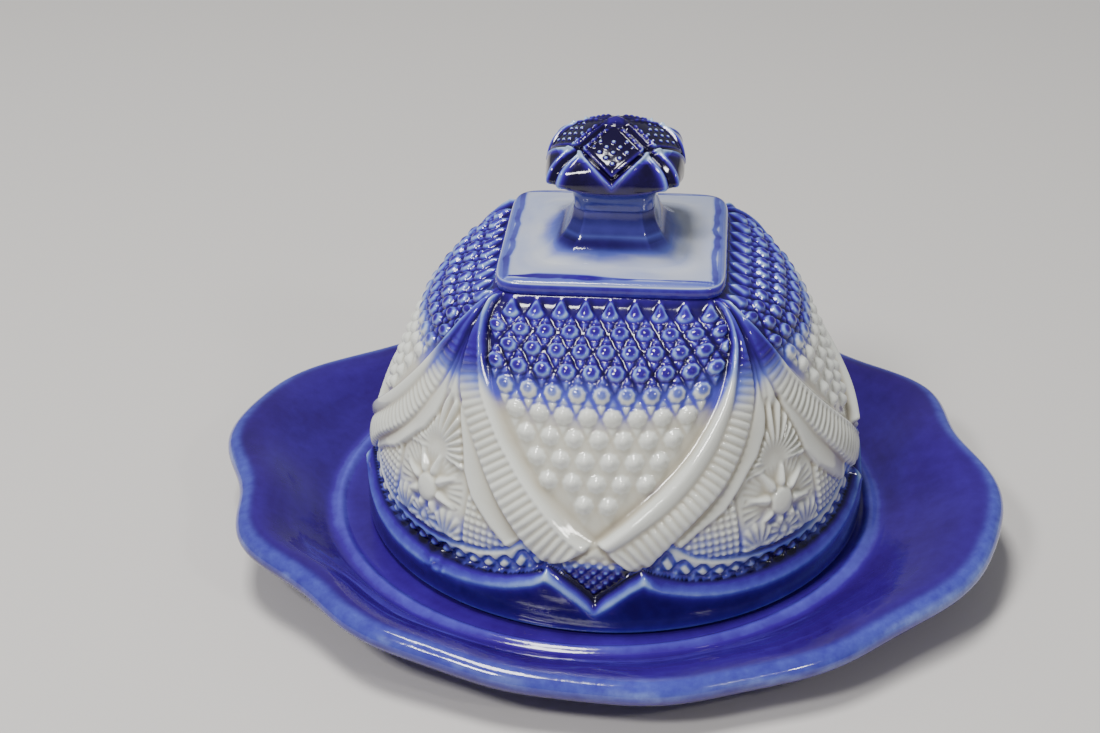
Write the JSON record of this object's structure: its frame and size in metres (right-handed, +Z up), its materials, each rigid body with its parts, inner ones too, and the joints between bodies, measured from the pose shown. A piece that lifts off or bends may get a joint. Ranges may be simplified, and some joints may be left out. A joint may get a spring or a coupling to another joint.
{
  "type": "covered butter dish",
  "caption": "Glazed earthenware butter dish: moulded dome cover with a knob on a square plateau, standing loose on a lobed underplate with a foot ring.",
  "frame": {"origin": "on the table under the middle of the dish", "axes": "+Z up, -Y the front face of the cover's pattern, +X to the right along the dish's longer way"},
  "size_m": [0.201, 0.1776, 0.1128],
  "materials": {
    "dish_glaze": "gloss glaze, mottled cobalt blue, paler at the lip",
    "cover_glaze": "gloss glaze, cobalt blue at top and base, cream-white between",
    "knob_glaze": "gloss glaze, cobalt blue, pale on the edges"
  },
  "bodies": {
    "dish": {"dish": "dish_glaze"},
    "cover": {"cover_dome": "cover_glaze", "cover_knob": "knob_glaze"}
  },
  "joints": [
    {"name": "cover_lift", "type": "slide", "parent": "dish", "child": "cover", "axis": [0, 0, 1], "range_m": [0, 0.13]}
  ]
}
